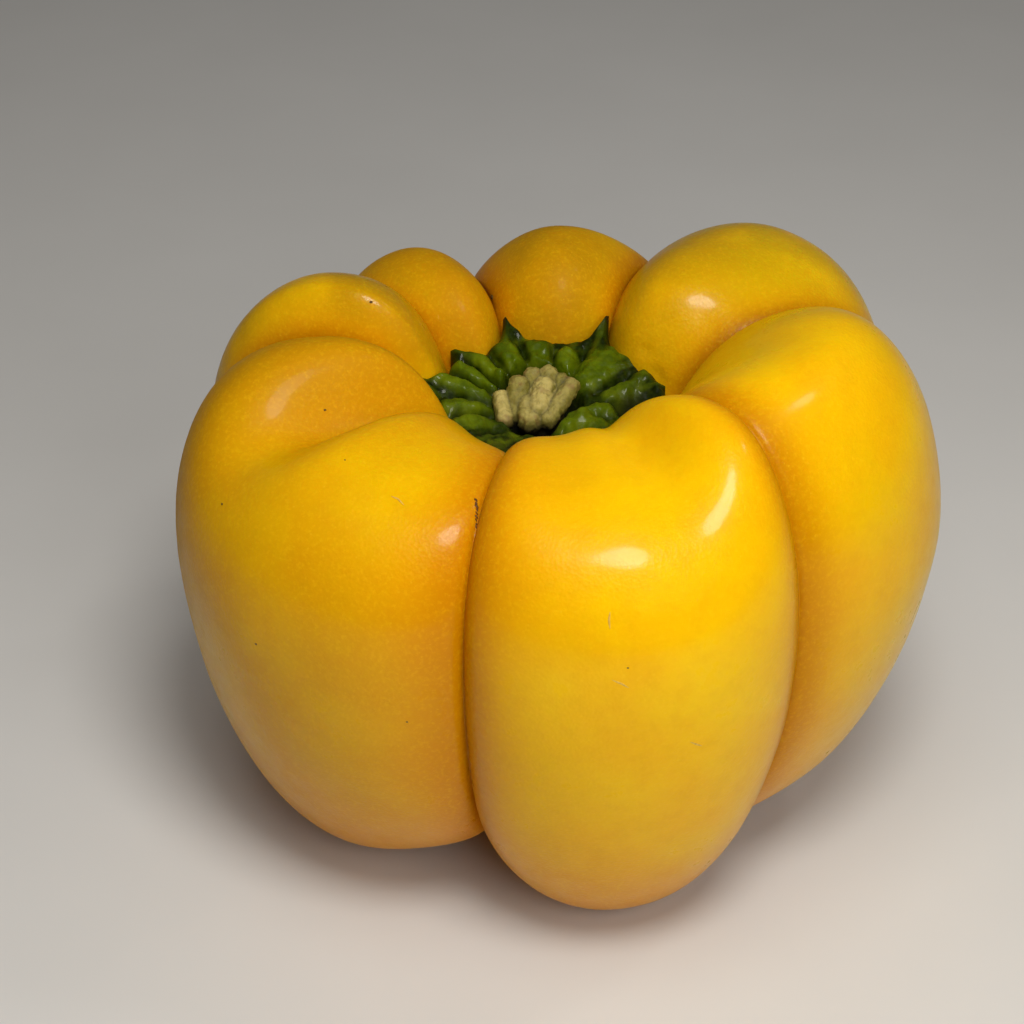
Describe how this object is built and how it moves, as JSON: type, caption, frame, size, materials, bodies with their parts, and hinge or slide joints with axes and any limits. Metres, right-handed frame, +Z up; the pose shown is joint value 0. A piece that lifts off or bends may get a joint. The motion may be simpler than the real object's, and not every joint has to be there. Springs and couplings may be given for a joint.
{
  "type": "bell pepper",
  "caption": "Plump, deeply lobed yellow bell pepper standing on its feet, with a green calyx and a torn stem stub sunk in its crown.",
  "frame": {"origin": "on the surface that the pepper stands on, under the middle of its box", "axes": "+Z up through the crown and the stem stub, -Y towards the side that faces the camera, +X to its right"},
  "size_m": [0.0954, 0.0894, 0.0753],
  "materials": {
    "skin": "glossy waxy skin, golden yellow, deeper orange in the creases",
    "calyx": "moist knobbly green, darker at the tips of its teeth",
    "torn_stem": "torn fibrous stump, pale olive to beige"
  },
  "bodies": {
    "root": {"fruit": "skin", "calyx": "calyx", "stem_stub": "torn_stem"}
  },
  "joints": []
}
